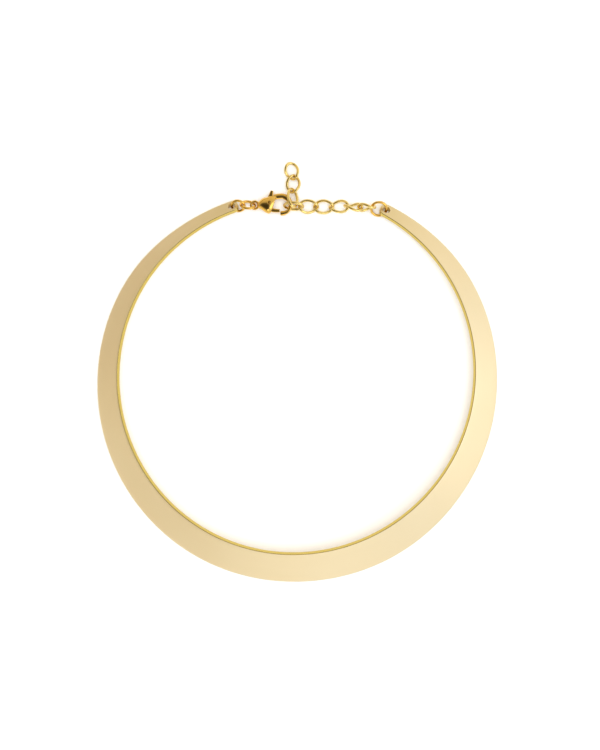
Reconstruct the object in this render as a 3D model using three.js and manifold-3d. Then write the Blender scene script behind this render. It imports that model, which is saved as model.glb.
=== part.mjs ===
// A collar necklace, fastened and lying on a table: a sloped metal plate bent round the
// neck opening, closed at the back by two jump rings, a lobster clasp and a short
// extender chain. Millimetres, +Z up, the front of the collar towards -Y.

import * as THREE from 'three';
import { mergeVertices } from 'three/addons/utils/BufferGeometryUtils.js';
import Module from 'manifold-3d';

const wasm = await Module();
wasm.setup();

// Collar plate. Turns are degrees round the neck opening, 0 in front, + towards +X.
const neckRadius = 59.6;
const ovalRise = 0.49;
const ovalTurn = -38.6;
const plateThickness = 1.5;
const plateSlope = 35;
const frontWidth = 11.9;
const tipWidth = 4.4;
const leftTipTurn = -161;
const rightTipTurn = 153.2;
const edgeChamfer = 0.2;
const footDepth = 0.3;
const holeRadius = 1.15;
const plateSteps = 124;
const tipSteps = 6;
const tipBluntAngle = 18;
const holeSides = 20;
const plateRows = 3;

// How far the plate has widened from tipWidth (0) to frontWidth (1), by turn from the front.
const widening = [
  { turn: 0, share: 1 },
  { turn: 30, share: 0.99 },
  { turn: 60, share: 0.84 },
  { turn: 90, share: 0.61 },
  { turn: 120, share: 0.39 },
  { turn: 150, share: 0.04 },
  { turn: 180, share: 0 },
];

// How far the ends are bent off the oval (+ outwards), as a share of neckRadius, by turn.
const rimBend = [
  { turn: -180, share: -0.03 },
  { turn: -165, share: -0.021 },
  { turn: -150, share: -0.0117 },
  { turn: -135, share: -0.0045 },
  { turn: -120, share: 0 },
  { turn: -60, share: 0 },
  { turn: 60, share: 0 },
  { turn: 120, share: 0.001 },
  { turn: 135, share: 0.0035 },
  { turn: 150, share: 0.0068 },
  { turn: 180, share: 0.01 },
];

// Rings and links. A wire is measured across, a ring over its outside.
const ringWire = 0.95;
const leftRingSize = 5.2;
const claspRingSize = 5.6;
const rightRingSize = 6.1;
const linkWire = 1;
const linkWidth = 5.2;
const linkPlay = 0.16;
const ringSides = 16;
const wireSides = 6;

// Clasp, lying on its side. Its own frame has the eye's middle at the origin, the hook
// towards +X and the thumb spur towards +Y. Shares are of claspLength, from the eye's
// middle to the outside of the hook.
const claspLength = 12.6;
const claspThickness = 3.5;
const claspHeight = 1.9;
const eyeHole = 1.75;
const eyeWire = 0.8;
const hookWireRoot = 1.9;
const hookWireTip = 1.05;
const hookWireHigh = 1.1;
const hookTaperFrom = 0.3;
const hookTaperTo = 0.75;
const pinRadius = 0.4;
const pinPlay = 0.09;
const leverThickness = 1.05;
const leverPlay = 0.14;
const hubRadius = 1.1;
const spurRootWide = 2.1;
const spurTipWide = 0.9;
const gateRootWide = 1.8;
const gateTipWide = 1;
const leverOpening = 25;
const openingSteps = 3;
const gateSteps = 6;
const barSides = 8;
const pinSides = 12;
const caseSides = 12;
const pinShare = 0.94;
const smallestDetail = 0.02;

// Places in the clasp's plane, as shares of claspLength.
const claspPlaces = {
  hookCentre: { x: 0.716, y: -0.004 },
  pivot: { x: 0.392, y: 0.055 },
  spurTip: { x: 0.466, y: 0.385 },
  gateElbow: { x: 0.44, y: -0.12 },
  gateTip: { x: 0.672, y: -0.153 },
};
const hookRootLine = [
  { x: 0.4, y: 0.165 },
  { x: 0.53, y: 0.215 },
];
const hookTurns = { first: 98, last: -98, step: 19.6 };

// The case's sections from the eye to the window: the upper and lower edge as shares of
// claspLength, and the thickness as a share of claspThickness.
const caseSections = [
  { topX: 0.065, topY: 0.05, lowX: 0.065, lowY: -0.048, thick: 0.3 },
  { topX: 0.12, topY: 0.11, lowX: 0.105, lowY: -0.075, thick: 0.6 },
  { topX: 0.215, topY: 0.185, lowX: 0.19, lowY: -0.125, thick: 0.88 },
  { topX: 0.35, topY: 0.232, lowX: 0.28, lowY: -0.19, thick: 1 },
  { topX: 0.47, topY: 0.262, lowX: 0.36, lowY: -0.228, thick: 1 },
  { topX: 0.6, topY: 0.245, lowX: 0.432, lowY: -0.208, thick: 0.8 },
];

// Where the pieces that close the necklace cross, chosen by hand. The comment above a
// place names what it is measured from, and the size that its shares are of.
const route = {
  // From the left hole, leftRingSize.
  ringCrossing: { x: 0.69, y: 0.138, z: 0.213 },
  claspEye: { x: 1.482, y: 0.122, z: 0 },
  // From the clasp's eye, claspLength.
  hookLinkStart: { x: 0.799, y: -0.017, z: 0.033 },
  // From the right hole, rightRingSize.
  rightRingFar: { x: -0.784, y: 0.229, z: 0.213 },
  chainEnd: { x: -0.699, y: 0.204, z: 0.19 },
  // From the first crossing of the chain, linkWidth.
  tailStart: { x: -0.504, y: 0.066, z: 0.362 },
};

// The chain's links: where each crosses the next, along as a share of the way from the
// hook to the right ring, aside and high (above the table) as shares of linkWidth. Roll
// turns a link about its length, and twist its two ends apart.
const chainLinks = [
  { name: 'hook_link', along: 0.188, aside: -0.03, high: 0.465, roll: 61, twist: 0 },
  { name: 'chain_link_5', along: 0.355, aside: -0.037, high: 0.278, roll: 18, twist: 36 },
  { name: 'chain_link_4', along: 0.529, aside: -0.005, high: 0.307, roll: 8, twist: 36 },
  { name: 'chain_link_3', along: 0.698, aside: 0.03, high: 0.462, roll: -26, twist: 36 },
  { name: 'chain_link_2', along: 0.853, aside: -0.031, high: 0.558, roll: -66, twist: 36 },
  { name: 'chain_link_1', along: 1, aside: 0, high: 0.539, roll: -105, twist: 36 },
];

// The free end: each link's far end from its near one, as shares of linkWidth.
const tailLinks = [
  { name: 'tail_link_1', x: -0.061, y: 0.959, z: -0.461, roll: 48, twist: 0 },
  { name: 'tail_link_2', x: 0.088, y: 0.879, z: -0.102, roll: 0, twist: 36 },
  { name: 'tail_link_3', x: -0.3, y: 0.908, z: -0.004, roll: -8, twist: 36 },
];
const leftRingRoll = 38;
const claspRingRoll = -56;
const rightRingRoll = 32;

const rad = THREE.MathUtils.degToRad;
const slope = rad(plateSlope);

function solid(geometry) {
  const bare = geometry.clone();
  bare.deleteAttribute('normal');
  bare.deleteAttribute('uv');
  const merged = mergeVertices(bare, 1e-4);
  return new wasm.Manifold(new wasm.Mesh({
    numProp: 3,
    vertProperties: new Float32Array(merged.attributes.position.array),
    triVerts: new Uint32Array(merged.index.array),
  }));
}

function geometryOf(shape) {
  const mesh = shape.getMesh();
  const geometry = new THREE.BufferGeometry();
  geometry.setAttribute('position', new THREE.BufferAttribute(new Float32Array(mesh.vertProperties), 3));
  geometry.setIndex(new THREE.BufferAttribute(new Uint32Array(mesh.triVerts), 1));
  geometry.computeVertexNormals();
  return geometry;
}

// The plate. A section is a strip of plateThickness leaning by plateSlope, its lower
// corner on the table; across runs from the outer rim (0) to the neck opening (1).
const wideningCurve = new THREE.CubicInterpolant(
  widening.map((row) => row.turn),
  widening.map((row) => row.share),
  1,
);

const bendCurve = new THREE.CubicInterpolant(
  rimBend.map((row) => row.turn),
  rimBend.map((row) => row.share),
  1,
);

function plateWidth(turn) {
  return tipWidth + (frontWidth - tipWidth) * wideningCurve.evaluate(Math.abs(turn))[0];
}

function rimRadius(turn) {
  const bent = neckRadius * (1 + bendCurve.evaluate(turn)[0]);
  return bent + ovalRise * Math.cos(2 * rad(turn - ovalTurn));
}

function platePoint(turn, outward, above) {
  const halfWidth = plateWidth(turn) / 2;
  const reach = rimRadius(turn) + (halfWidth + outward) * Math.cos(slope) + above * Math.sin(slope);
  return new THREE.Vector3(
    reach * Math.sin(rad(turn)),
    -reach * Math.cos(rad(turn)),
    (halfWidth - outward) * Math.sin(slope) + above * Math.cos(slope) - footDepth,
  );
}

function plateNormal(turn) {
  return new THREE.Vector3(
    Math.sin(slope) * Math.sin(rad(turn)),
    -Math.sin(slope) * Math.cos(rad(turn)),
    Math.cos(slope),
  );
}

const tipRadius = tipWidth / 2;
const tipReach = neckRadius + tipRadius * Math.cos(slope);
const degreesPerMm = THREE.MathUtils.radToDeg(1 / tipReach);
const leftHoleTurn = leftTipTurn + tipRadius * degreesPerMm;
const rightHoleTurn = rightTipTurn - tipRadius * degreesPerMm;
const stations = plateSteps + 2 * tipSteps;

// A station's turn, and the share of the full width that the rounded tip leaves there.
function station(index) {
  const fromEnd = Math.min(index, stations - index);
  if (fromEnd > tipSteps) {
    const along = (index - tipSteps) / plateSteps;
    return { turn: THREE.MathUtils.lerp(leftHoleTurn, rightHoleTurn, along), share: 1 };
  }
  const round = rad(THREE.MathUtils.lerp(tipBluntAngle, 90, fromEnd / tipSteps));
  const inset = tipRadius * (1 - Math.cos(round)) * degreesPerMm;
  return {
    turn: index === fromEnd ? leftTipTurn + inset : rightTipTurn - inset,
    share: Math.sin(round),
  };
}

function drill(turn) {
  const bit = new THREE.CylinderGeometry(holeRadius, holeRadius, 4 * plateThickness, holeSides);
  const along = new THREE.Quaternion().setFromUnitVectors(new THREE.Vector3(0, 1, 0), plateNormal(turn));
  const middle = platePoint(turn, 0, plateThickness / 2);
  return solid(bit.applyQuaternion(along).translate(middle.x, middle.y, middle.z));
}

function collarGeometry() {
  const blank = new THREE.BoxGeometry(1, 1, 1, stations, plateRows, 1);
  const place = blank.attributes.position;
  for (let i = 0; i < place.count; i += 1) {
    const { turn, share } = station(Math.round((place.getX(i) + 0.5) * stations));
    const row = Math.round((place.getY(i) + 0.5) * plateRows);
    const rim = row === 0 || row === plateRows;
    const halfWidth = plateWidth(turn) / 2 - (rim ? 0 : edgeChamfer);
    const outward = (2 * row < plateRows ? halfWidth : -halfWidth) * share;
    const inset = rim ? edgeChamfer : 0;
    const above = place.getZ(i) > 0 ? plateThickness - inset : inset;
    const point = platePoint(turn, outward, above);
    place.setXYZ(i, point.x, point.y, point.z);
  }
  const tableSize = 4 * neckRadius;
  const table = new THREE.BoxGeometry(tableSize, tableSize, tableSize).translate(0, 0, -tableSize / 2);
  const shape = solid(blank)
    .subtract(solid(table))
    .subtract(drill(leftHoleTurn))
    .subtract(drill(rightHoleTurn));
  return geometryOf(shape);
}

// A closed wire: a torus whose vertices are carried to the line that lineAt(angle) gives.
function wireGeometry(lineAt, wire) {
  const geometry = new THREE.TorusGeometry(1, 0.5, wireSides, ringSides);
  const place = geometry.attributes.position;
  const step = 1e-3;
  for (let i = 0; i < place.count; i += 1) {
    const angle = ((i % (ringSides + 1)) / ringSides) * 2 * Math.PI;
    const around = (Math.floor(i / (ringSides + 1)) / wireSides) * 2 * Math.PI;
    const middle = lineAt(angle);
    const tangent = lineAt(angle + step).sub(lineAt(angle - step)).normalize();
    const out = middle.clone().addScaledVector(tangent, -middle.dot(tangent)).normalize();
    const side = out.clone().cross(tangent);
    middle.addScaledVector(out, (wire / 2) * Math.cos(around));
    middle.addScaledVector(side, (wire / 2) * Math.sin(around));
    place.setXYZ(i, middle.x, middle.y, middle.z);
  }
  geometry.deleteAttribute('normal');
  geometry.deleteAttribute('uv');
  const merged = mergeVertices(geometry, 1e-4);
  merged.computeVertexNormals();
  return merged;
}

// An oval of wire along X, its two ends turned by -twist and +twist about X.
function ovalGeometry(length, width, wire, twist) {
  const halfLength = (length - wire) / 2;
  const halfWidth = (width - wire) / 2;
  return wireGeometry((angle) => {
    const side = halfWidth * Math.sin(angle);
    const turned = rad(twist) * Math.cos(angle);
    return new THREE.Vector3(
      halfLength * Math.cos(angle),
      side * Math.cos(turned),
      side * Math.sin(turned),
    );
  }, wire);
}

// Lays a piece with its X axis from start to end and its Y axis level, then rolls it.
function lay(mesh, start, end, roll) {
  const along = end.clone().sub(start).normalize();
  const level = new THREE.Vector3(0, 0, 1).cross(along).normalize();
  const up = along.clone().cross(level);
  const turn = new THREE.Matrix4().makeBasis(along, level, up);
  mesh.quaternion.setFromRotationMatrix(turn);
  mesh.rotateX(rad(roll));
  mesh.position.copy(start).add(end).multiplyScalar(0.5);
  return mesh;
}

// A bar in the clasp's plane: a cylinder whose rings are carried along lineAt(share), as
// wide as wideAt(share) says and high across the plane. Four sides make it a flat bar.
function barSolid({ lineAt, wideAt, high, sides, steps }) {
  const corner = 1 / Math.cos(Math.PI / sides);
  const blank = new THREE.CylinderGeometry(
    corner, corner, 1, sides, steps, false, Math.PI / sides,
  );
  const place = blank.attributes.position;
  const step = 1e-3;
  for (let i = 0; i < place.count; i += 1) {
    const share = place.getY(i) + 0.5;
    const middle = lineAt(share);
    const ahead = lineAt(Math.min(share + step, 1));
    const along = ahead.sub(lineAt(Math.max(share - step, 0))).normalize();
    const across = (place.getX(i) * wideAt(share)) / 2;
    place.setXYZ(
      i,
      middle.x + along.y * across,
      middle.y - along.x * across,
      (place.getZ(i) * high) / 2,
    );
  }
  return solid(blank);
}

function claspPoint(shares) {
  return new THREE.Vector2(shares.x, shares.y).multiplyScalar(claspLength);
}

const hookCentre = claspPoint(claspPlaces.hookCentre);
const pivot = claspPoint(claspPlaces.pivot);
const hookRadius = claspLength - hookWireTip / 2 - hookCentre.x;

function hookSolid() {
  const points = hookRootLine.map(claspPoint);
  for (let turn = hookTurns.first; turn >= hookTurns.last; turn -= hookTurns.step) {
    const out = new THREE.Vector2(Math.cos(rad(turn)), Math.sin(rad(turn)));
    points.push(out.multiplyScalar(hookRadius).add(hookCentre));
  }
  const line = new THREE.SplineCurve(points);
  return barSolid({
    lineAt: (share) => line.getPoint(share),
    wideAt: (share) => THREE.MathUtils.lerp(
      hookWireRoot,
      hookWireTip,
      THREE.MathUtils.smoothstep(share, hookTaperFrom, hookTaperTo),
    ),
    high: hookWireHigh,
    sides: barSides,
    steps: 2 * points.length,
  });
}

function caseSolid() {
  const blank = new THREE.CylinderGeometry(1, 1, 1, caseSides, caseSections.length - 1);
  const place = blank.attributes.position;
  for (let i = 0; i < place.count; i += 1) {
    const row = caseSections[Math.round((place.getY(i) + 0.5) * (caseSections.length - 1))];
    const low = (1 + place.getX(i)) / 2;
    place.setXYZ(
      i,
      claspLength * THREE.MathUtils.lerp(row.topX, row.lowX, low),
      claspLength * THREE.MathUtils.lerp(row.topY, row.lowY, low),
      (place.getZ(i) * row.thick * claspThickness) / 2,
    );
  }
  return solid(blank);
}

function eyeSolid() {
  const middle = (eyeHole + eyeWire) / 2;
  return solid(new THREE.TorusGeometry(middle, eyeWire / 2, barSides, ringSides));
}

function pinSolid(radius, length) {
  const pin = new THREE.CylinderGeometry(radius, radius, length, pinSides);
  return solid(pin.rotateX(Math.PI / 2).translate(pivot.x, pivot.y, 0));
}

// The lever with play added all round: hub, thumb spur and gate.
function leverSolid(play) {
  const high = leverThickness + 2 * play;
  const hub = new THREE.CylinderGeometry(hubRadius + play, hubRadius + play, high, ringSides);
  const spurTip = claspPoint(claspPlaces.spurTip);
  const gateElbow = claspPoint(claspPlaces.gateElbow);
  const gateTip = claspPoint(claspPlaces.gateTip);
  const spur = barSolid({
    lineAt: (share) => pivot.clone().lerp(spurTip, share),
    wideAt: (share) => THREE.MathUtils.lerp(spurRootWide, spurTipWide, share) + 2 * play,
    high,
    sides: 4,
    steps: 1,
  });
  const gateLine = new THREE.SplineCurve([pivot, gateElbow, gateTip]);
  const gate = barSolid({
    lineAt: (share) => gateLine.getPoint(share),
    wideAt: (share) => THREE.MathUtils.lerp(gateRootWide, gateTipWide, share) + 2 * play,
    high,
    sides: 4,
    steps: gateSteps,
  });
  return solid(hub.rotateX(Math.PI / 2).translate(pivot.x, pivot.y, 0)).add(spur).add(gate);
}

// The room that the lever needs, from closed to fully open.
function leverRoom() {
  const lever = leverSolid(leverPlay).translate([-pivot.x, -pivot.y, 0]);
  let room = lever;
  for (let i = 1; i <= openingSteps; i += 1) {
    room = room.add(lever.rotate([0, 0, (leverOpening * i) / openingSteps]));
  }
  return room.translate([pivot.x, pivot.y, 0]);
}

function claspBodyGeometry() {
  const shape = caseSolid()
    .add(hookSolid())
    .subtract(leverRoom())
    .add(eyeSolid())
    .subtract(pinSolid(pinRadius + pinPlay, 2 * claspThickness));
  return geometryOf(shape.simplify(smallestDetail));
}

function leverGeometry() {
  const bore = (pinRadius + pinPlay) / Math.cos(Math.PI / pinSides);
  return geometryOf(leverSolid(0).subtract(pinSolid(bore, 2 * leverThickness)));
}

function metal(name, geometry, colour, roughness) {
  const material = new THREE.MeshStandardMaterial({ color: colour, roughness, metalness: 1 });
  const mesh = new THREE.Mesh(geometry, material);
  mesh.name = name;
  return mesh;
}

const satinGold = [0xe4cf9c, 0.45];
const brightGold = [0xd9a441, 0.2];
const chainGold = [0xe0bd6a, 0.25];

const necklace = new THREE.Group();
necklace.add(metal('collar', collarGeometry(), ...satinGold));

// A ring or link from one crossing to the next. An end that crosses another wire reaches
// past the crossing by half of both wires and the play between them.
function addOval({ name, from, to, fromReach, toReach, width, wire, twist, roll, gold }) {
  const along = to.clone().sub(from).normalize();
  const start = from.clone().addScaledVector(along, -fromReach);
  const end = to.clone().addScaledVector(along, toReach);
  const length = start.distanceTo(end) + wire;
  const ring = metal(name, ovalGeometry(length, width, wire, twist), ...gold);
  necklace.add(lay(ring, start, end, roll));
}

// A place measured from another one, as shares of a size.
function placeFrom(origin, shares, size) {
  return new THREE.Vector3(shares.x, shares.y, shares.z).multiplyScalar(size).add(origin);
}

// Links one after another through the places, which are one more than the links.
function addChain({ links, places, firstReach, lastReach }) {
  links.forEach((link, index) => {
    addOval({
      name: link.name,
      from: places[index],
      to: places[index + 1],
      fromReach: index === 0 ? firstReach : linkReach,
      toReach: index === links.length - 1 ? lastReach : linkReach,
      width: linkWidth,
      wire: linkWire,
      twist: link.twist,
      roll: link.roll,
      gold: chainGold,
    });
  });
}

const ringReach = (ringWire + linkPlay) / 2;
const linkReach = (linkWire + linkPlay) / 2;

const leftHole = platePoint(leftHoleTurn, 0, plateThickness / 2);
const rightHole = platePoint(rightHoleTurn, 0, plateThickness / 2);
const ringCrossing = placeFrom(leftHole, route.ringCrossing, leftRingSize);
const claspEye = placeFrom(leftHole, route.claspEye, leftRingSize).setZ(claspHeight);

addOval({
  name: 'ring_left',
  from: leftHole,
  to: ringCrossing,
  fromReach: 0,
  toReach: ringReach,
  width: leftRingSize,
  wire: ringWire,
  twist: 0,
  roll: leftRingRoll,
  gold: brightGold,
});
addOval({
  name: 'ring_clasp',
  from: ringCrossing,
  to: claspEye,
  fromReach: ringReach,
  toReach: 0,
  width: claspRingSize,
  wire: ringWire,
  twist: 0,
  roll: claspRingRoll,
  gold: brightGold,
});

const clasp = new THREE.Group();
clasp.position.copy(claspEye);
clasp.add(metal('clasp_body', claspBodyGeometry(), ...brightGold));
clasp.add(metal('clasp_lever', leverGeometry(), ...brightGold));
clasp.add(metal('clasp_pin', geometryOf(pinSolid(pinRadius, pinShare * claspThickness)), ...brightGold));
necklace.add(clasp);

const chainStart = placeFrom(claspEye, route.hookLinkStart, claspLength);
const chainEnd = placeFrom(rightHole, route.chainEnd, rightRingSize);
const chainWay = chainEnd.clone().sub(chainStart).setZ(0);
const chainSide = new THREE.Vector3(0, 0, 1).cross(chainWay).normalize();
const chainPlaces = chainLinks.map(({ along, aside, high }) => chainStart.clone()
  .addScaledVector(chainWay, along)
  .addScaledVector(chainSide, aside * linkWidth)
  .setZ(high * linkWidth));
addChain({
  links: chainLinks,
  places: [chainStart, ...chainPlaces],
  firstReach: 0,
  lastReach: linkReach,
});
addOval({
  name: 'ring_right',
  from: placeFrom(rightHole, route.rightRingFar, rightRingSize),
  to: rightHole,
  fromReach: 0,
  toReach: 0,
  width: rightRingSize,
  wire: ringWire,
  twist: 0,
  roll: rightRingRoll,
  gold: brightGold,
});

const tailPlaces = [placeFrom(chainPlaces[0], route.tailStart, linkWidth)];
tailLinks.forEach((link, index) => {
  tailPlaces.push(placeFrom(tailPlaces[index], link, linkWidth));
});
addChain({
  links: tailLinks,
  places: tailPlaces,
  firstReach: linkReach,
  lastReach: 0,
});

// The origin is the middle of the object's footprint, on the table.
const extent = new THREE.Box3().setFromObject(necklace, true);
const middle = extent.getCenter(new THREE.Vector3());
necklace.position.set(-middle.x, -middle.y, -extent.min.z);

export default necklace;
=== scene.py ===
# %% [markdown]
# # A gilded collar necklace, worked out with numpy
#
# The necklace lies on a table: a wide, sloped collar of satin gold metal, open at the
# back, and closed there by jump rings, a lobster clasp and a short chain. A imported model
# of it already exists, with plain, faceted solids. This lesson loads that model as a
# fixed frame and lays a finished surface over each of its pieces.
#
# Every shape below is a formula over whole numpy arrays. The formulas use the maker's
# own sizes in millimetres, and only the last step turns them into metres.

import math

import bmesh
import bpy
import numpy as np
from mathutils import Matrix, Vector


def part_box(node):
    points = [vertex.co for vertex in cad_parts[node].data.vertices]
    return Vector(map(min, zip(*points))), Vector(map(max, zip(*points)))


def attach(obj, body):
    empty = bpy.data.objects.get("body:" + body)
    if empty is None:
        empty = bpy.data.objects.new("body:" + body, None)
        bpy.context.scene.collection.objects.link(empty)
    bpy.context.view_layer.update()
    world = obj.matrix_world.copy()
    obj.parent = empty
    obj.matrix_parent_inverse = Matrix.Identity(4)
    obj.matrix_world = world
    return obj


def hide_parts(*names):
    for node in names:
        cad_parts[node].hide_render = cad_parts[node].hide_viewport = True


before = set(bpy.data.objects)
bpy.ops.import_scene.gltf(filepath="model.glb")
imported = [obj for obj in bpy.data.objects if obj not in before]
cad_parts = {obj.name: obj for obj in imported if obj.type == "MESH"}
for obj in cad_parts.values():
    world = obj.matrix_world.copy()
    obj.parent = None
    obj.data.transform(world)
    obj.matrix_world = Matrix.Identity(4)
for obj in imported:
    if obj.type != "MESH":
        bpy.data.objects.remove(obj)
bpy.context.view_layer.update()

# %% [markdown]
# ## From arrays to a Blender mesh
#
# Most pieces are a grid of points: one parameter runs along the piece, the other round
# it. A grid becomes a mesh by joining each point to its three neighbours. Where a piece
# is closed, its last row is joined to its first, so that no seam is left open. An open
# piece gets a flat cap of one polygon at each end.

# %% Helpers for meshes
MM = 0.001
DOUBLED = 0.001 * MM


def grid_faces(rows, columns, rows_closed):
    """Quads between neighbouring rows; the columns always close on themselves."""
    last = rows if rows_closed else rows - 1
    row, column = np.meshgrid(np.arange(last), np.arange(columns), indexing="ij")
    row, column = row.ravel(), column.ravel()
    next_row, next_column = (row + 1) % rows, (column + 1) % columns
    return np.stack([
        row * columns + column,
        next_row * columns + column,
        next_row * columns + next_column,
        row * columns + next_column,
    ], axis=1)


def mesh_from(name, points, faces, caps=()):
    """A mesh from an array of points, an array of quads and a few lists of cap corners."""
    mesh = bpy.data.meshes.new(name)
    polygons = faces.tolist() + [list(cap) for cap in caps]
    mesh.from_pydata(points.reshape(-1, 3).tolist(), [], polygons)
    mesh.update()
    return mesh


def tube_mesh(name, points, closed):
    """A tube from points[row, column]: closed into a ring, or capped at both ends."""
    rows, columns = points.shape[:2]
    caps = () if closed else (
        range(columns),
        range(rows * columns - 1, (rows - 1) * columns - 1, -1),
    )
    return mesh_from(name, points, grid_faces(rows, columns, closed), caps)


def point_outwards(mesh):
    """Merges doubled points, then turns every face to the outside."""
    work = bmesh.new()
    work.from_mesh(mesh)
    bmesh.ops.remove_doubles(work, verts=work.verts, dist=DOUBLED)
    bmesh.ops.recalc_face_normals(work, faces=work.faces)
    work.to_mesh(mesh)
    work.free()


def object_from(name, mesh):
    """Puts a mesh into the scene as an object that sits at the origin."""
    piece = bpy.data.objects.new(name, mesh)
    bpy.context.collection.objects.link(piece)
    return piece


def applied(piece):
    """Makes a piece's modifiers part of its mesh."""
    seen = bpy.context.evaluated_depsgraph_get()
    done = bpy.data.meshes.new_from_object(piece.evaluated_get(seen), depsgraph=seen)
    piece.modifiers.clear()
    done.name = piece.name
    piece.data = done


def smooth_step(share, start, end):
    """0 up to the start, 1 from the end on, and 3 t^2 - 2 t^3 between them."""
    t = np.clip((share - start) / (end - start), 0, 1)
    return 3 * t**2 - 2 * t**3


# %% [markdown]
# ## The camera
#
# The photograph was taken from above with a fairly long lens, about 0.7 m away and
# leaning three degrees towards the right end. A long lens keeps the collar's two sides
# alike. The camera is aimed near the middle of the neck opening.

# %% Camera
LENS_MM = 100
CAMERA_HEIGHT = 705 * MM
CAMERA_LEAN = math.radians(3.08)
AIM = Vector((1.243 * MM, -1.092 * MM, 0))

camera = bpy.data.objects.new("camera", bpy.data.cameras.new("camera"))
camera.data.lens = LENS_MM
camera.data.sensor_width = 36
camera.data.clip_start = 0.01
camera.location = AIM + Vector((CAMERA_HEIGHT * math.tan(CAMERA_LEAN), 0, CAMERA_HEIGHT))
camera.rotation_euler = (0, CAMERA_LEAN, 0)
bpy.context.collection.objects.link(camera)
bpy.context.scene.camera = camera
print("camera is", round((camera.location - AIM).length, 3), "m away")

# %% [markdown]
# ## The maker's sizes
#
# The collar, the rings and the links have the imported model's own sizes. So has the clasp,
# but for four small forms that its cells name. Turns are degrees round the neck opening,
# 0 in front and growing towards +X.

# %% Sizes of the collar
NECK_RADIUS = 59.6
OVAL_RISE = 0.49
OVAL_TURN = -38.6
THICKNESS = 1.5
SLOPE = math.radians(35)
FRONT_WIDTH = 11.9
TIP_WIDTH = 4.4
LEFT_TIP, RIGHT_TIP = -161, 153.2
FOOT_DEPTH = 0.3
HOLE_RADIUS = 1.15
EDGE_ROUND = 0.22

WIDENING_TURNS = np.array([0, 30, 60, 90, 120, 150, 180])
WIDENING_SHARES = np.array([1, 0.99, 0.84, 0.61, 0.39, 0.04, 0])
BEND_TURNS = np.array([-180, -165, -150, -135, -120, -60, 60, 120, 135, 150, 180])
BEND_SHARES = np.array(
    [-0.03, -0.021, -0.0117, -0.0045, 0, 0, 0, 0.001, 0.0035, 0.0068, 0.01]
)


def smooth_through(knots, values, at):
    """A curve through the knots. Between two knots it is a cubic, and its slope at a knot
    is the mean of the straight slopes before and after it."""
    straight = np.diff(values) / np.diff(knots)
    slope = np.concatenate([[0], (straight[:-1] + straight[1:]) / 2, [0]])
    left = np.clip(np.searchsorted(knots, at, side="right") - 1, 0, len(knots) - 2)
    step = np.diff(knots)[left]
    p = (at - knots[left]) / step
    return (
        (2 * p**3 - 3 * p**2 + 1) * values[left]
        + (p**3 - 2 * p**2 + p) * slope[left] * step
        + (3 * p**2 - 2 * p**3) * values[left + 1]
        + (p**3 - p**2) * slope[left + 1] * step
    )


def plate_width(turn):
    """The tip's width, plus a share of what the front is wider than the tip."""
    share = smooth_through(WIDENING_TURNS, WIDENING_SHARES, np.abs(turn))
    return TIP_WIDTH + (FRONT_WIDTH - TIP_WIDTH) * share


def plate_point(turn, outward, above):
    """A point of the plate: outward from the middle line towards the outer rim, and above
    the underside. The plate leans by SLOPE, so both give some reach and some height."""
    bent = NECK_RADIUS * (1 + smooth_through(BEND_TURNS, BEND_SHARES, turn))
    rim = bent + OVAL_RISE * np.cos(2 * np.radians(turn - OVAL_TURN))
    half = plate_width(turn) / 2
    reach = rim + (half + outward) * np.cos(SLOPE) + above * np.sin(SLOPE)
    height = (half - outward) * np.sin(SLOPE) + above * np.cos(SLOPE) - FOOT_DEPTH
    angle = np.radians(turn)
    return np.stack([reach * np.sin(angle), -reach * np.cos(angle), height], axis=-1)


TIP_RADIUS = TIP_WIDTH / 2
DEGREES_PER_MM = math.degrees(1 / (NECK_RADIUS + TIP_RADIUS * math.cos(SLOPE)))
LEFT_HOLE = LEFT_TIP + TIP_RADIUS * DEGREES_PER_MM
RIGHT_HOLE = RIGHT_TIP - TIP_RADIUS * DEGREES_PER_MM
left_hole = plate_point(np.array(LEFT_HOLE), 0, THICKNESS / 2)
right_hole = plate_point(np.array(RIGHT_HOLE), 0, THICKNESS / 2)
print("the plate is", round(float(plate_width(np.array(0.0))), 2), "mm wide in front")

# %% [markdown]
# ## Where the clasp and the chain lie
#
# The chain's pieces are laid one by one: a short list says where each piece crosses the next. It is
# written in shares of the sizes that it depends on, as in the imported model.

# %% Sizes and places of the rings, the clasp and the links
RING_WIRE = 0.95
LEFT_RING = 5.2
CLASP_RING = 5.6
RIGHT_RING = 6.1
LINK_WIRE = 1.0
LINK_WIDTH = 5.2
LINK_PLAY = 0.16
CLASP_LENGTH = 12.6
CLASP_THICKNESS = 3.5
CLASP_HEIGHT = 1.9
PIVOT = np.array([0.392, 0.055]) * CLASP_LENGTH

ring_crossing = left_hole + LEFT_RING * np.array([0.69, 0.138, 0.213])
clasp_eye = left_hole + LEFT_RING * np.array([1.482, 0.122, 0])
clasp_eye[2] = CLASP_HEIGHT
chain_start = clasp_eye + CLASP_LENGTH * np.array([0.799, -0.017, 0.033])
chain_end = right_hole + RIGHT_RING * np.array([-0.699, 0.204, 0.19])
right_ring_far = right_hole + RIGHT_RING * np.array([-0.784, 0.229, 0.213])

# name, along the way, aside, high, roll, twist
CHAIN = [
    ("hook_link", 0.188, -0.03, 0.465, 61, 0),
    ("chain_link_5", 0.355, -0.037, 0.278, 18, 36),
    ("chain_link_4", 0.529, -0.005, 0.307, 8, 36),
    ("chain_link_3", 0.698, 0.03, 0.462, -26, 36),
    ("chain_link_2", 0.853, -0.031, 0.558, -66, 36),
    ("chain_link_1", 1.0, 0.0, 0.539, -105, 36),
]
TAIL_START = np.array([-0.504, 0.066, 0.362])
# name, step from the crossing before, roll, twist
TAIL = [
    ("tail_link_1", (-0.061, 0.959, -0.461), 48, 0),
    ("tail_link_2", (0.088, 0.879, -0.102), 0, 36),
    ("tail_link_3", (-0.3, 0.908, -0.004), -8, 36),
]
LEFT_RING_ROLL, CLASP_RING_ROLL, RIGHT_RING_ROLL = 38, -56, 32

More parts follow.
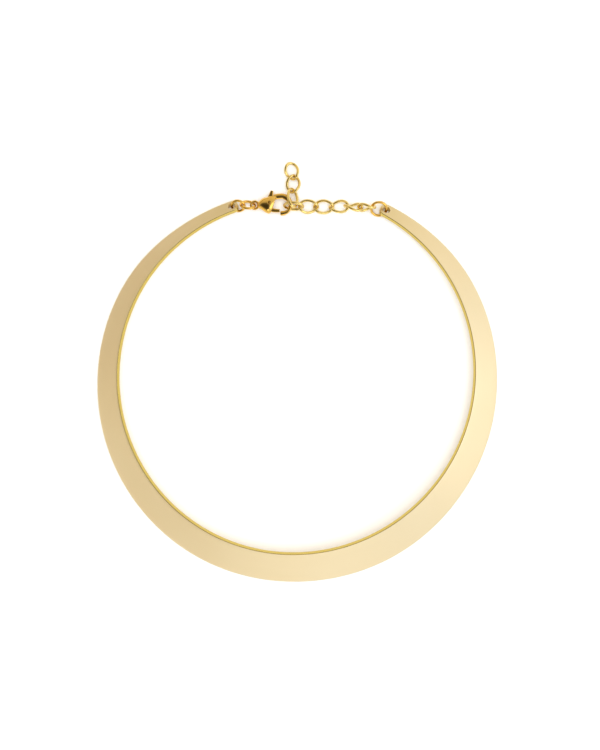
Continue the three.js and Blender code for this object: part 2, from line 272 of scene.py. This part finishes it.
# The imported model's origin is the middle of its footprint. The pin's place in it tells
# how far the whole necklace was moved from the middle of the neck opening.
pin_low, pin_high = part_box("clasp_pin")
pin_middle = np.array((pin_low + pin_high) / 2) / MM
shift = pin_middle - (clasp_eye + np.append(PIVOT, 0))
print("shift of the packed model in mm:", np.round(shift, 3))


def in_frame(points):
    """Millimetres from the neck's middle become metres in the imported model's frame."""
    return (points + shift) * MM


# %% [markdown]
# ## The collar
#
# The real collar is cut from sheet, curved along its length and leaning inward like a
# shallow cone. Its section is a strip with eased edges, and each end is rounded about
# its ring hole. A sheet pushed up by modifiers would need many of them, so the section
# is carried round the neck instead: a rounded strip whose half width follows the turn.
# The two holes are cut last with a drill that is a little wider at each face, as a countersink
# leaves it. Each point also carries a number from 0 to 1 that says how polished it is, for the
# metal to read later: the narrow sides wholly, the wide faces only near the ends, where the rings
# rub. The metal lowers the roughness by that number and also darkens the colour by it, which is
# painted shade.

# %% Collar: stations along the plate
TIP_STEPS = 22
PLATE_STEPS = 400
DRILL_SIDES = 48
COUNTERSINK = 0.16
DRILL_BEYOND = 0.6
CONE_WIDENING = 2.2
SHARP_ANGLE = math.radians(40)

round_angle = np.radians(np.linspace(0, 90, TIP_STEPS, endpoint=False))
tip_inset = TIP_RADIUS * (1 - np.cos(round_angle))
middle_turns = np.linspace(LEFT_HOLE, RIGHT_HOLE, PLATE_STEPS)
station_turn = np.concatenate([
    LEFT_TIP + tip_inset * DEGREES_PER_MM,
    middle_turns,
    (RIGHT_TIP - tip_inset * DEGREES_PER_MM)[::-1],
])
from_end = np.concatenate([tip_inset, np.full(PLATE_STEPS, TIP_RADIUS), tip_inset[::-1]])
width_share = np.concatenate([np.sin(round_angle), np.ones(PLATE_STEPS), np.sin(round_angle)[::-1]])
station_half = plate_width(station_turn) / 2 * width_share
print(len(station_turn), "stations along the plate")

# %% Collar: the rounded strip carried along
FLAT_STEPS = 10
CORNER_STEPS = 7


def strip_section():
    """The strip's outline in one turn: four quarter circles at the corners, joined by
    straight runs. Returns the side (-1 to 1), the face (-1 or 1) and the corner angle."""
    corner = np.linspace(0, np.pi / 2, CORNER_STEPS)
    across = np.linspace(1, -1, FLAT_STEPS + 2)[1:-1]
    side = np.concatenate([
        np.ones(CORNER_STEPS), across, -np.ones(CORNER_STEPS),
        -np.ones(CORNER_STEPS), -across, np.ones(CORNER_STEPS),
    ])
    face = np.concatenate([np.ones(len(side) // 2), -np.ones(len(side) // 2)])
    angle = np.concatenate([
        corner, np.full(FLAT_STEPS, np.pi / 2), corner + np.pi / 2,
        corner + np.pi, np.full(FLAT_STEPS, 1.5 * np.pi), corner + 1.5 * np.pi,
    ])
    return side, face, angle


side, face, corner_angle = strip_section()
half = station_half[:, None]
ease = np.minimum(EDGE_ROUND, half)
nose = np.clip(from_end, 0, EDGE_ROUND)[:, None]
drop = EDGE_ROUND - np.sqrt(EDGE_ROUND**2 - (EDGE_ROUND - nose) ** 2)
half_thick = THICKNESS / 2 - drop
outward = side * (half - ease) + ease * np.cos(corner_angle)
above = THICKNESS / 2 + face * (half_thick - ease) + ease * np.sin(corner_angle)
strip = plate_point(station_turn[:, None], outward, above)
strip[..., 2] = np.maximum(strip[..., 2], 0)
print("the strip has", strip.shape[0] * strip.shape[1], "points")

# %% Collar: where it is polished and painted darker with shade
RUBBED_AND_PAINTED_SHADE_TURNS, RUBBED_AND_PAINTED_SHADE_SHARE = 30, 0.35
to_end = np.minimum(station_turn - LEFT_TIP, RIGHT_TIP - station_turn)
rubbed_ends_and_painted_shade = RUBBED_AND_PAINTED_SHADE_SHARE * (1 - np.clip(to_end / RUBBED_AND_PAINTED_SHADE_TURNS, 0, 1)) ** 2
# The narrow sides are polished all over, the faces only where the rings rub the ends. The same mark
# also paints these places a darker colour, which is painted shade.
polish_and_painted_shade = np.maximum(np.abs(np.cos(corner_angle))[None, :], rubbed_ends_and_painted_shade[:, None])


def mark_polish_and_painted_shade(mesh, values):
    """Stores how polished each corner point of a mesh is, from 0 to 1. The material also darkens
    the colour by this value, as painted shade.
    """
    layer = mesh.attributes.new("polish_and_painted_shade", "FLOAT", "POINT")
    spread = np.broadcast_to(values, len(mesh.vertices))
    layer.data.foreach_set("value", spread.astype(np.float32))


collar_mesh = tube_mesh("collar", in_frame(strip), closed=False)
mark_polish_and_painted_shade(collar_mesh, polish_and_painted_shade.ravel())
point_outwards(collar_mesh)
print("polished points:", int((polish_and_painted_shade > 0.5).sum()))

# %% Collar: drill the two ring holes


def drill_mesh(turn):
    """A bit along the plate's normal: two cones that open towards both faces. Rows give
    the distance along the bit, columns the angle round it."""
    angle = np.linspace(0, 2 * np.pi, DRILL_SIDES, endpoint=False)
    reach = THICKNESS / 2 + np.array([DRILL_BEYOND, 0, -COUNTERSINK])
    rows = np.concatenate([-reach, reach[::-1]])
    flare = COUNTERSINK * np.array([CONE_WIDENING, 1, 0, 0, 1, CONE_WIDENING])
    radius = HOLE_RADIUS + flare
    u = radius[:, None] * np.cos(angle)
    v = radius[:, None] * np.sin(angle)
    centre = plate_point(np.array(turn), 0, THICKNESS / 2)
    t = math.radians(turn)
    along = np.array([math.cos(t), math.sin(t), 0])
    lean, rise = math.sin(SLOPE), math.cos(SLOPE)
    normal = np.array([lean * math.sin(t), -lean * math.cos(t), rise])
    across = np.cross(normal, along)
    points = centre + u[..., None] * along + v[..., None] * across + rows[:, None, None] * normal
    mesh = tube_mesh("drill", in_frame(points), closed=False)
    point_outwards(mesh)
    # The bit's faces become the hole walls, marked wholly polished, so that they also take the
    # darker colour: painted shade in the holes.
    mark_polish_and_painted_shade(mesh, 1.0)
    return mesh


def cut(piece, cutter_mesh, operation="DIFFERENCE"):
    """Applies one exact boolean to a piece's mesh and removes the cutter."""
    cutter = object_from("cutter", cutter_mesh)
    boolean = piece.modifiers.new("cut", "BOOLEAN")
    boolean.operation = operation
    boolean.solver = "EXACT"
    boolean.object = cutter
    applied(piece)
    bpy.data.objects.remove(cutter)


collar = object_from("collar_plate", collar_mesh)
for hole_turn in (LEFT_HOLE, RIGHT_HOLE):
    cut(collar, drill_mesh(hole_turn))
collar.data.shade_smooth()
collar.data.set_sharp_from_angle(angle=SHARP_ANGLE)
print("the drilled collar has", len(collar.data.polygons), "faces")

# %% [markdown]
# ## Rings and links
#
# A jump ring is one turn of round wire. A link of the chain is an oval of wire whose two
# ends were twisted apart, so that the chain lies flat. Both come from one formula: a
# round section carried along a closed line, in a frame of the line's direction and the
# direction outward from the ring's middle. That frame never spins, so the section meets
# itself where the ring closes.

# %% Wire swept along a closed line
RING_STEPS = 120
WIRE_SIDES = 20
ROUND_SHARE = 0.95


def oval_line(angle, length, width, wire, twist):
    """An ellipse along X, its width leaning by -twist at one end and +twist at the other."""
    across = (width - wire) / 2 * np.sin(angle)
    lean = np.radians(twist) * np.cos(angle)
    return np.stack([
        (length - wire) / 2 * np.cos(angle),
        across * np.cos(lean),
        across * np.sin(lean),
    ], axis=-1)


def wire_round(line, wire):
    """A round section round a closed line: out is the line's place less its part along
    the line, side is square to both."""
    ahead, behind = np.roll(line, -1, axis=0), np.roll(line, 1, axis=0)
    tangent = ahead - behind
    tangent /= np.linalg.norm(tangent, axis=1, keepdims=True)
    out = line - np.sum(line * tangent, axis=1, keepdims=True) * tangent
    out /= np.linalg.norm(out, axis=1, keepdims=True)
    side_way = np.cross(out, tangent)
    around = np.linspace(0, 2 * np.pi, WIRE_SIDES, endpoint=False)[None, :, None]
    radius = ROUND_SHARE * wire / 2
    section = np.cos(around) * out[:, None] + np.sin(around) * side_way[:, None]
    return line[:, None] + radius * section


def laid(points, start, end, roll):
    """Carries points so that their X axis runs from start to end, then rolls them."""
    along = (end - start) / np.linalg.norm(end - start)
    level = np.cross([0, 0, 1], along)
    level /= np.linalg.norm(level)
    up = np.cross(along, level)
    c, s = math.cos(math.radians(roll)), math.sin(math.radians(roll))
    rolled_level, rolled_up = c * level + s * up, c * up - s * level
    turned = (
        points[..., :1] * along
        + points[..., 1:2] * rolled_level
        + points[..., 2:] * rolled_up
    )
    return turned + (start + end) / 2


def wire_piece(name, start, end, start_reach, end_reach, width, wire, twist, roll):
    """A ring or link between two crossings, reaching past each by what its wire needs."""
    along = (end - start) / np.linalg.norm(end - start)
    first = start - start_reach * along
    last = end + end_reach * along
    length = np.linalg.norm(last - first) + wire
    angle = np.linspace(0, 2 * np.pi, RING_STEPS, endpoint=False)
    line = oval_line(angle, length, width, wire, twist)
    points = laid(wire_round(line, wire), first, last, roll)
    mesh = tube_mesh(name, in_frame(points), closed=True)
    point_outwards(mesh)
    mesh.shade_smooth()
    return object_from(name + "_wire", mesh)


ring_reach = (RING_WIRE + LINK_PLAY) / 2
link_reach = (LINK_WIRE + LINK_PLAY) / 2
# name, from, to, reach past each, size, roll
RINGS = [
    ("ring_left", left_hole, ring_crossing, 0, ring_reach, LEFT_RING, LEFT_RING_ROLL),
    ("ring_clasp", ring_crossing, clasp_eye, ring_reach, 0, CLASP_RING, CLASP_RING_ROLL),
    ("ring_right", right_ring_far, right_hole, 0, 0, RIGHT_RING, RIGHT_RING_ROLL),
]
rings = {}
for name, start, end, start_reach, end_reach, size, roll in RINGS:
    rings[name] = wire_piece(name, start, end, start_reach, end_reach, size, RING_WIRE, 0, roll)
print("made", len(rings), "jump rings")

# %% The chain's links
way = chain_end - chain_start
way[2] = 0
aside_way = np.cross([0, 0, 1], way)
aside_way /= np.linalg.norm(aside_way)


def chain_place(along, aside, high):
    """A crossing: a share of the way, a step aside, and its height above the table."""
    place = chain_start + along * way + aside * LINK_WIDTH * aside_way
    place[2] = high * LINK_WIDTH
    return place


links = {}
place = chain_start
for index, (name, along, aside, high, roll, twist) in enumerate(CHAIN):
    next_place = chain_place(along, aside, high)
    first_reach = 0 if index == 0 else link_reach
    links[name] = wire_piece(
        name, place, next_place, first_reach, link_reach, LINK_WIDTH, LINK_WIRE, twist, roll)
    place = next_place

place = chain_place(*CHAIN[0][1:4]) + LINK_WIDTH * TAIL_START
for index, (name, step, roll, twist) in enumerate(TAIL):
    next_place = place + LINK_WIDTH * np.array(step)
    last_reach = 0 if index == len(TAIL) - 1 else link_reach
    links[name] = wire_piece(
        name, place, next_place, link_reach, last_reach, LINK_WIDTH, LINK_WIRE, twist, roll)
    place = next_place
print("made", len(links), "links")

# %% [markdown]
# ## The lobster clasp
#
# The clasp is cast: a pear-shaped case with an eye at one end and a hook that bends
# round from its shoulder, with soft fillets where they meet. Each part is easy alone:
# the case is a stack of ovals, the hook a tapering bar, the eye a ring. They are joined,
# the lever's slot is cut out, and a fine remesh with a little smoothing then rounds the
# joints and edges as casting and polishing do. Four forms are a little fuller or finer
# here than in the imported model: the case's end at the window, the hook's lip, the spur's
# root and the gate's tip.

# %% Clasp: case, hook and eye
EYE_HOLE, EYE_WIRE = 1.75, 0.8
HOOK_ROOT, HOOK_TIP, HOOK_HIGH = 1.9, 1.05, 1.1
HOOK_TAPER_FROM, HOOK_TAPER_TO = 0.3, 0.75
HOOK_CENTRE = np.array([0.716, -0.004]) * CLASP_LENGTH
HOOK_RADIUS = CLASP_LENGTH - HOOK_TIP / 2 - HOOK_CENTRE[0]
HOOK_SHOULDER = np.array([[0.4, 0.165], [0.53, 0.215]]) * CLASP_LENGTH
HOOK_TURNS = np.radians(np.linspace(98, -98, 11))
LIP_SWELL, LIP_FROM, LIP_TO = 0.6, 0.7, 0.93
BLUNT_FROM, BLUNT_LENGTH, BLUNTEST = 0.96, 0.04, 0.985
HOOK_STEPS, BLUNT_STEPS = 70, 14
# The remesh and the smoothing take a little off, so the hook starts a little higher.
HOOK_RAISED = 1.04
HOOK_SQUARENESS, LEVER_SQUARENESS, ROOM_SQUARENESS = 0.85, 0.5, 0.35

# One row a section: upper edge x y, lower edge x y, thickness.
CASE = np.array([
    [0.065, 0.05, 0.065, -0.048, 0.3],
    [0.12, 0.11, 0.105, -0.075, 0.6],
    [0.215, 0.185, 0.19, -0.125, 0.88],
    [0.35, 0.232, 0.28, -0.19, 1],
    [0.47, 0.262, 0.36, -0.228, 1],
    [0.59, 0.238, 0.432, -0.208, 0.72],
])


def clasp_frame(points):
    """From the clasp's own frame (the eye's middle at the origin) to the necklace's."""
    return in_frame(points + clasp_eye)


def curve_through(points, at):
    """A smooth curve through points, by the same cubic in each coordinate."""
    knots = np.arange(len(points), dtype=float)
    where = at * (len(points) - 1)
    columns = [smooth_through(knots, column, where) for column in points.T]
    return np.stack(columns, axis=-1)


def case_mesh(rows=40, columns=56):
    """A stack of ovals: an oval's ends are the two edges, its other axis the thickness."""
    section = curve_through(CASE, np.linspace(0, 1, rows))
    angle = np.linspace(0, 2 * np.pi, columns, endpoint=False)
    low = (1 - np.cos(angle)) / 2
    x = section[:, :1] + (section[:, 2:3] - section[:, :1]) * low
    y = section[:, 1:2] + (section[:, 3:4] - section[:, 1:2]) * low
    z = section[:, 4:] * CLASP_THICKNESS / 2 * np.sin(angle)
    points = np.stack([x * CLASP_LENGTH, y * CLASP_LENGTH, z], axis=-1)
    mesh = tube_mesh("case", clasp_frame(points), closed=False)
    point_outwards(mesh)
    return mesh


def bar_mesh(line, wide, high, squareness=1.0, columns=32):
    """A bar in the clasp's plane: an oval of a width and a height carried along a line.
    Squareness under 1 swells the oval towards a rounded rectangle."""
    tangent = np.gradient(line, axis=0)
    tangent /= np.linalg.norm(tangent, axis=1, keepdims=True)
    normal = np.stack([tangent[:, 1], -tangent[:, 0]], axis=1)
    angle = np.linspace(0, 2 * np.pi, columns, endpoint=False)
    c = np.sign(np.cos(angle)) * np.abs(np.cos(angle)) ** squareness
    s = np.sign(np.sin(angle)) * np.abs(np.sin(angle)) ** squareness
    flat = line[:, None] + normal[:, None] * (wide[:, None, None] / 2 * c[None, :, None])
    up = (high[:, None] / 2) * s[None, :]
    points = np.concatenate([flat, up[..., None]], axis=2)
    mesh = tube_mesh("bar", clasp_frame(points), closed=False)
    point_outwards(mesh)
    return mesh


hook_points = np.concatenate([
    HOOK_SHOULDER,
    HOOK_CENTRE + HOOK_RADIUS * np.stack([np.cos(HOOK_TURNS), np.sin(HOOK_TURNS)], axis=1),
])
hook_share = np.concatenate([
    np.linspace(0, BLUNT_FROM, HOOK_STEPS),
    np.linspace(0.962, 1, BLUNT_STEPS),
])
hook_line = curve_through(hook_points, hook_share)
taper = smooth_step(hook_share, HOOK_TAPER_FROM, HOOK_TAPER_TO)
hook_wide = HOOK_ROOT + (HOOK_TIP - HOOK_ROOT) * taper
# Past the link that it holds, the hook swells inwards to a blunt lip for the gate.
lip = LIP_SWELL * smooth_step(hook_share, LIP_FROM, LIP_TO)
inwards = HOOK_CENTRE - hook_line
inwards /= np.linalg.norm(inwards, axis=1, keepdims=True)
hook_line = hook_line + inwards * lip[:, None] / 2
hook_wide = hook_wide + lip
hook_end = np.sqrt(1 - np.clip((hook_share - BLUNT_FROM) / BLUNT_LENGTH, 0, BLUNTEST) ** 2)
hook_high = HOOK_HIGH * HOOK_RAISED * hook_end
hook_mesh = bar_mesh(hook_line, hook_wide * hook_end, hook_high, HOOK_SQUARENESS)

eye_angle = np.linspace(0, 2 * np.pi, 64, endpoint=False)
eye_middle = (EYE_HOLE + EYE_WIRE) / 2
eye_ring = eye_middle * np.stack([np.cos(eye_angle), np.sin(eye_angle), 0 * eye_angle], axis=1)
eye_points = wire_round(eye_ring, EYE_WIRE / ROUND_SHARE)
eye_mesh = tube_mesh("eye", clasp_frame(eye_points), closed=True)
point_outwards(eye_mesh)
hook_length = np.linalg.norm(np.diff(hook_line, axis=0), axis=1).sum()
print("the hook's line is", round(float(hook_length), 1), "mm")

# %% Clasp: the lever and the room that it needs
PIN_RADIUS, PIN_PLAY = 0.4, 0.09
LEVER_THICKNESS, LEVER_PLAY, HUB_RADIUS = 1.05, 0.14, 1.1
SPUR_TIP = np.array([0.466, 0.385]) * CLASP_LENGTH
GATE_ELBOW = np.array([0.44, -0.12]) * CLASP_LENGTH
GATE_TIP = np.array([0.672, -0.153]) * CLASP_LENGTH
SPUR_WIDE, GATE_WIDE = (2.8, 0.9), (1.8, 1.1)
OPENING = 25
PIN_SHARE, PIN_DOME = 0.94, 0.18


def turned_about_pivot(points, degrees):
    """Turns points of the clasp's plane about the pin."""
    c, s = math.cos(math.radians(degrees)), math.sin(math.radians(degrees))
    return PIVOT + (points - PIVOT) @ np.array([[c, s], [-s, c]])


def lever_bars(play, degrees, squareness):
    """Hub, thumb spur and gate of the lever, with play added all round."""
    share = np.linspace(0, 1, 30)
    high = np.full(30, LEVER_THICKNESS + 2 * play)
    hub = HUB_RADIUS + play
    hub_line = PIVOT + np.stack([np.linspace(-1, 1, 30) * hub, np.zeros(30)], axis=1)
    hub_wide = 2 * np.sqrt(np.maximum(hub**2 - (hub_line[:, 0] - PIVOT[0]) ** 2, 0.01))
    spur = PIVOT + share[:, None] * (SPUR_TIP - PIVOT)
    gate = curve_through(np.array([PIVOT, GATE_ELBOW, GATE_TIP]), share)
    parts = (
        (hub_line, hub_wide),
        (spur, SPUR_WIDE[0] + (SPUR_WIDE[1] - SPUR_WIDE[0]) * share + 2 * play),
        (gate, GATE_WIDE[0] + (GATE_WIDE[1] - GATE_WIDE[0]) * share + 2 * play),
    )
    return [
        bar_mesh(turned_about_pivot(line, degrees), wide, high, squareness)
        for line, wide in parts
    ]


def pin_mesh(radius, half_length, dome=0.0):
    """A turned pin: a profile of radius against height, spun about the pin's axis."""
    angle = np.linspace(0, 2 * np.pi, 48, endpoint=False)
    rise = np.linspace(0, np.pi / 2, 8)
    edge = np.stack([
        radius - dome + dome * np.cos(rise),
        half_length - dome + dome * np.sin(rise),
    ], axis=1)
    profile = np.concatenate([edge[::-1] * [1, 1], (edge * [1, -1])])
    x = PIVOT[0] + profile[:, :1] * np.cos(angle)
    y = PIVOT[1] + profile[:, :1] * np.sin(angle)
    z = np.broadcast_to(profile[:, 1:], x.shape)
    mesh = tube_mesh("pin", clasp_frame(np.stack([x, y, z], axis=-1)), closed=False)
    point_outwards(mesh)
    return mesh


# %% Clasp: join, cut, and round off
CAST_VOXEL = 0.075 * MM
LEVER_VOXEL = 0.05 * MM
ROOM_TURNS = 6


def cast_from(name, meshes, voxel, passes):
    """One skin round several overlapping shells: a fine remesh merges them, and some
    smoothing rounds the edges and the joints between them."""
    work = bmesh.new()
    for mesh in meshes:
        work.from_mesh(mesh)
    together = bpy.data.meshes.new(name)
    work.to_mesh(together)
    work.free()
    piece = object_from(name, together)
    round_off(piece, voxel, passes)
    return piece


def round_off(piece, voxel, passes):
    """Remeshes a piece into small cells and moves each point halfway to its neighbours."""
    remesh = piece.modifiers.new("cast", "REMESH")
    remesh.mode = "VOXEL"
    remesh.voxel_size = voxel
    smooth = piece.modifiers.new("polish_and_painted_shade", "SMOOTH")
    smooth.factor = 0.5
    smooth.iterations = passes
    applied(piece)
    piece.data.shade_smooth()


room_bars = [
    bar
    for degrees in np.linspace(0, OPENING, ROOM_TURNS)
    for bar in lever_bars(LEVER_PLAY, degrees, ROOM_SQUARENESS)
]
lever_room = cast_from("lever_room", room_bars, LEVER_VOXEL, passes=1)
body_shells = [case_mesh(), hook_mesh, eye_mesh]
clasp_body = cast_from("clasp_case_and_hook", body_shells, CAST_VOXEL, passes=2)
cut(clasp_body, lever_room.data)
cut(clasp_body, pin_mesh(PIN_RADIUS + PIN_PLAY, CLASP_THICKNESS))
round_off(clasp_body, CAST_VOXEL, passes=3)
bpy.data.objects.remove(lever_room)

lever_shells = lever_bars(0, 0, LEVER_SQUARENESS)
clasp_lever = cast_from("clasp_lever_and_spur", lever_shells, LEVER_VOXEL, passes=2)
cut(clasp_lever, pin_mesh(PIN_RADIUS + PIN_PLAY, CLASP_THICKNESS))
round_off(clasp_lever, LEVER_VOXEL, passes=3)

rivet = pin_mesh(PIN_RADIUS, PIN_SHARE * CLASP_THICKNESS / 2, PIN_DOME)
clasp_pin = object_from("clasp_pin_rivet", rivet)
clasp_pin.data.shade_smooth()
for piece in (clasp_body, clasp_lever, clasp_pin):
    print(piece.name, "has", len(piece.data.polygons), "faces")

# %% [markdown]
# ## Gold in three finishes
#
# All pieces are gold-plated brass, finished in three ways. The collar is satin: rubbed along its
# length, so that it glows softly, with its narrow sides polished and given a deeper colour, which
# is painted shade. The clasp and the jump rings are tumbled to a high polish. The chain is drawn
# wire in a paler gold. Each is a metal whose roughness and height vary a little with noise, since a
# flawless metal looks like plastic.

# %% A gold with fine wear


def gold(name, colour, deep_colour, roughness, grain, relief, patch, polished_and_painted_shade=None):
    """Metal with a soft colour drift between two golds, grain in its roughness and a faint height.
    Grain and patch are how many features fit in a metre. The last argument gives a colour and a
    roughness for the points that are marked as polished: the roughness is their polish, the colour
    a darker painted shade."""
    material = bpy.data.materials.new(name)
    material.use_nodes = True
    nodes, wires = material.node_tree.nodes, material.node_tree.links
    shader = nodes["Principled BSDF"]
    shader.inputs["Metallic"].default_value = 1.0
    place = nodes.new("ShaderNodeTexCoord")

    def noise(scale, detail):
        node = nodes.new("ShaderNodeTexNoise")
        node.inputs["Scale"].default_value = scale
        node.inputs["Detail"].default_value = detail
        wires.new(place.outputs["Object"], node.inputs["Vector"])
        return node.outputs["Fac"]

    drift = nodes.new("ShaderNodeMix")
    drift.data_type = "RGBA"
    drift.inputs["A"].default_value = (*colour, 1)
    drift.inputs["B"].default_value = (*deep_colour, 1)
    wires.new(noise(patch, 2), drift.inputs["Factor"])

    rubbed = nodes.new("ShaderNodeMapRange")
    rubbed.inputs["To Min"].default_value = roughness[0]
    rubbed.inputs["To Max"].default_value = roughness[1]
    wires.new(noise(grain, 4), rubbed.inputs["Value"])

    tint, gloss = drift.outputs["Result"], rubbed.outputs["Result"]
    if polished_and_painted_shade:
        # Marked points get the polished roughness and a darker colour, which is painted shade.
        mark = nodes.new("ShaderNodeAttribute")
        mark.attribute_name = "polish_and_painted_shade"
        painted_shade_mix = nodes.new("ShaderNodeMix")
        painted_shade_mix.data_type = "RGBA"
        painted_shade_mix.inputs["B"].default_value = (*polished_and_painted_shade[0], 1)
        wires.new(tint, painted_shade_mix.inputs["A"])
        smoothed = nodes.new("ShaderNodeMix")
        smoothed.inputs["B"].default_value = polished_and_painted_shade[1]
        wires.new(gloss, smoothed.inputs["A"])
        for mix in (painted_shade_mix, smoothed):
            wires.new(mark.outputs["Fac"], mix.inputs["Factor"])
        tint, gloss = painted_shade_mix.outputs["Result"], smoothed.outputs["Result"]
    wires.new(tint, shader.inputs["Base Color"])
    wires.new(gloss, shader.inputs["Roughness"])

    bump = nodes.new("ShaderNodeBump")
    bump.inputs["Strength"].default_value = 0.25
    bump.inputs["Distance"].default_value = relief
    wires.new(noise(grain, 3), bump.inputs["Height"])
    wires.new(bump.outputs["Normal"], shader.inputs["Normal"])
    return material


# The narrow sides' colour is painted shade, darker than the satin; their lower roughness is their
# polish.
SIDE_PAINTED_SHADE_COLOUR, SIDE_ROUGHNESS = (0.56, 0.42, 0.11), 0.16
satin_gold = gold(
    "satin_gold", (0.88, 0.74, 0.48), (0.85, 0.69, 0.42), roughness=(0.36, 0.46),
    grain=2500, relief=8e-6, patch=40, polished_and_painted_shade=(SIDE_PAINTED_SHADE_COLOUR, SIDE_ROUGHNESS))
polished_gold = gold(
    "polished_gold", (0.79, 0.50, 0.12), (0.73, 0.43, 0.09), roughness=(0.06, 0.13),
    grain=1500, relief=4e-6, patch=200)
chain_gold = gold(
    "chain_gold", (0.82, 0.63, 0.24), (0.78, 0.57, 0.19), roughness=(0.08, 0.16),
    grain=1500, relief=4e-6, patch=200)
print("finishes:", satin_gold.name, polished_gold.name, chain_gold.name)

# %% Hand each piece its finish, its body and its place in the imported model


def finish_piece(piece, node, body, material):
    piece.data.materials.clear()
    piece.data.materials.append(material)
    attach(piece, body)
    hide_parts(node)


finish_piece(collar, "collar", "necklace", satin_gold)
finish_piece(clasp_body, "clasp_body", "necklace", polished_gold)
finish_piece(clasp_pin, "clasp_pin", "necklace", polished_gold)
finish_piece(clasp_lever, "clasp_lever", "lever", polished_gold)
for node, ring in rings.items():
    finish_piece(ring, node, "necklace", polished_gold)
for node, link in links.items():
    finish_piece(link, node, "necklace", chain_gold)

# %% [markdown]
# ## Table and light
#
# Jewellery is lit by large soft boxes for a product photograph, because metal shows what
# it reflects. The collar's face leans outward, so each stretch of it mirrors what stands
# beside the table on that side, about twenty degrees above it. A box on the right and one
# in front lift the pale stretches. A third, which no metal mirrors, whitens the table.
# The table is wide enough that its far edge stays out of low views.

# %% Table
TABLE_SIZE = 12.0
table_corners = TABLE_SIZE / 2 * np.array([[-1, -1, 0], [1, -1, 0], [1, 1, 0], [-1, 1, 0]])
table = object_from("table", mesh_from("table", table_corners, np.array([[0, 1, 2, 3]])))
paper = bpy.data.materials.new("paper")
paper.use_nodes = True
paper_shader = paper.node_tree.nodes["Principled BSDF"]
paper_shader.inputs["Base Color"].default_value = (0.93, 0.93, 0.93, 1)
paper_shader.inputs["Roughness"].default_value = 0.9
table.data.materials.append(paper)

# %% Light


def soft_box(name, azimuth, elevation, distance, size, power):
    """A large area light that faces the necklace. Azimuth 0 stands in front, 90 at +X."""
    lamp = bpy.data.lights.new(name, "AREA")
    lamp.shape = "RECTANGLE"
    lamp.size, lamp.size_y = size
    lamp.energy = power
    light = bpy.data.objects.new(name, lamp)
    a, e = math.radians(azimuth), math.radians(elevation)
    aside, front, up = math.sin(a) * math.cos(e), -math.cos(a) * math.cos(e), math.sin(e)
    light.location = distance * Vector((aside, front, up))
    light.rotation_mode = "QUATERNION"
    light.rotation_quaternion = light.location.to_track_quat("Z", "Y")
    bpy.context.collection.objects.link(light)
    return light


soft_box("right_box", 75, 38, 1.2, (0.9, 0.5), 1.8)
soft_box("front_box", 0, 42, 1.2, (0.8, 0.4), 1.5)
table_box = soft_box("table_box", 0, 89, 1.4, (1.6, 1.6), 20.0)
table_box.visible_glossy = False

# %% [markdown]
# The room itself is the largest light. Its walls are brighter and cooler on the right,
# where the window side is, and dim and warm on the left and behind. The camera's stand
# is a dark patch high in front and to the left, which gives the polished pieces their
# deep tones.

# %% Room
BRIGHT_SIDE = Vector((math.sin(math.radians(58)), -math.cos(math.radians(58)), 0))
# Towards the dim side 0, towards the bright side 1.
WALLS = [
    (0.0, (0.50, 0.42, 0.30)),
    (0.2, (0.80, 0.74, 0.62)),
    (0.4, (0.84, 0.78, 0.66)),
    (0.65, (0.88, 0.86, 0.80)),
    (0.85, (0.87, 0.90, 0.94)),
    (1.0, (0.78, 0.80, 0.84)),
]
# Straight down 0, the horizon 0.5, overhead 1.
HEIGHTS = [(0.5, 0.70), (0.6, 0.95), (0.72, 1.0), (0.9, 0.8), (1.0, 0.7)]
# Away from the camera's stand 0, towards it 1.
STAND = [(0.8, 1.0), (0.88, 0.75), (0.94, 0.2), (1.0, 0.08)]
STAND_SIDE = Vector((-0.3, -0.3, 0.9)).normalized()
ROOM_STRENGTH = 1.25

world = bpy.data.worlds.new("room")
bpy.context.scene.world = world
world.use_nodes = True
room, room_wires = world.node_tree.nodes, world.node_tree.links
outlook = room.new("ShaderNodeTexCoord")


def band(factor, stops):
    """A colour ramp over a factor, from a short list of stops."""
    ramp = room.new("ShaderNodeValToRGB")
    ramp.color_ramp.interpolation = "EASE"
    for index, (at, colour) in enumerate(stops):
        stop = ramp.color_ramp.elements[index] if index < 2 else ramp.color_ramp.elements.new(at)
        stop.position = at
        stop.color = (*colour, 1) if isinstance(colour, tuple) else (colour, colour, colour, 1)
    room_wires.new(factor, ramp.inputs["Fac"])
    return ramp.outputs["Color"]


def share_along(direction):
    """How far a view direction points along another one, from 0 (away) to 1 (towards)."""
    dot = room.new("ShaderNodeVectorMath")
    dot.operation = "DOT_PRODUCT"
    dot.inputs[1].default_value = direction
    room_wires.new(outlook.outputs["Generated"], dot.inputs[0])
    share = room.new("ShaderNodeMapRange")
    share.inputs["From Min"].default_value = -1
    room_wires.new(dot.outputs["Value"], share.inputs["Value"])
    return share.outputs["Result"]


def dimmed(colour, factor):
    """The product of two colours."""
    product = room.new("ShaderNodeMix")
    product.data_type = "RGBA"
    product.blend_type = "MULTIPLY"
    product.inputs["Factor"].default_value = 1
    room_wires.new(colour, product.inputs["A"])
    room_wires.new(factor, product.inputs["B"])
    return product.outputs["Result"]


walls = band(share_along(BRIGHT_SIDE), WALLS)
walls = dimmed(walls, band(share_along(Vector((0, 0, 1))), HEIGHTS))
walls = dimmed(walls, band(share_along(STAND_SIDE), STAND))
room_wires.new(walls, room["Background"].inputs["Color"])
room["Background"].inputs["Strength"].default_value = ROOM_STRENGTH
bpy.context.scene.view_settings.view_transform = "Standard"
